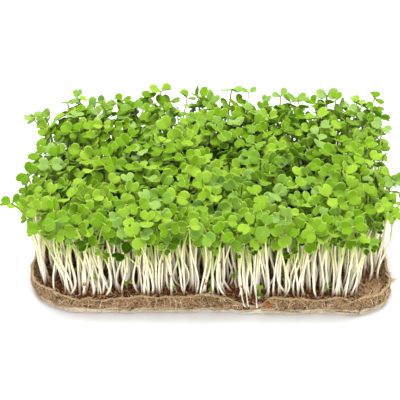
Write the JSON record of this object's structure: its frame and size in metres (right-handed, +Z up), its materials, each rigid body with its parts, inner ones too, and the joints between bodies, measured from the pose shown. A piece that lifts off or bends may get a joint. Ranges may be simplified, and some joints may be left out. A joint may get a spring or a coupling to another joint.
{
  "type": "microgreens tray",
  "caption": "Shallow felted-fibre tray with a soil bed and a dense stand of brassica seedlings with notched leaf pairs.",
  "frame": {"origin": "middle of the tray's flat underside, on the surface it stands on", "axes": "+Z up, +X to the right along the tray's long side, the torn front edge at -Y"},
  "size_m": [0.2713, 0.1886, 0.0899],
  "materials": {
    "fibre": "matte felted plant fibre, pale and frayed along the lower edge",
    "soil": "matte dark red-brown peat with crumbs and fibres",
    "seedling": "soft satin plant tissue",
    "leaf": "satin green leaf with a paler rim and veins, lets light through",
    "stem": "white to pale yellow-green juicy stem, slightly glossy",
    "husk": "dry thin seed coat, reddish brown"
  },
  "bodies": {
    "root": {"fibre_tray": "fibre", "soil_bed": "soil", "seedlings_r1_c1": "seedling", "seedlings_r1_c2": "seedling", "seedlings_r1_c3": "seedling", "seedlings_r1_c4": "seedling", "seedlings_r1_c5": "seedling", "seedlings_r1_c6": "seedling", "seedlings_r1_c7": "seedling", "seedlings_r1_c8": "seedling", "seedlings_r2_c1": "seedling", "seedlings_r2_c2": "seedling", "seedlings_r2_c3": "seedling", "seedlings_r2_c4": "seedling", "seedlings_r2_c5": "seedling", "seedlings_r2_c6": "seedling", "seedlings_r2_c7": "seedling", "seedlings_r2_c8": "seedling", "seedlings_r3_c1": "seedling", "seedlings_r3_c2": "seedling", "seedlings_r3_c3": "seedling", "seedlings_r3_c4": "seedling", "seedlings_r3_c5": "seedling", "seedlings_r3_c6": "seedling", "seedlings_r3_c7": "seedling", "seedlings_r3_c8": "seedling", "seedlings_r4_c1": "seedling", "seedlings_r4_c2": "seedling", "seedlings_r4_c3": "seedling", "seedlings_r4_c4": "seedling", "seedlings_r4_c5": "seedling", "seedlings_r4_c6": "seedling", "seedlings_r4_c7": "seedling", "seedlings_r4_c8": "seedling", "seedlings_r5_c1": "seedling", "seedlings_r5_c2": "seedling", "seedlings_r5_c3": "seedling", "seedlings_r5_c4": "seedling", "seedlings_r5_c5": "seedling", "seedlings_r5_c6": "seedling", "seedlings_r5_c7": "seedling", "seedlings_r5_c8": "seedling", "seedlings_r6_c1": "seedling", "seedlings_r6_c2": "seedling", "seedlings_r6_c3": "seedling", "seedlings_r6_c4": "seedling", "seedlings_r6_c5": "seedling", "seedlings_r6_c6": "seedling", "seedlings_r6_c7": "seedling", "seedlings_r6_c8": "seedling"}
  },
  "joints": []
}
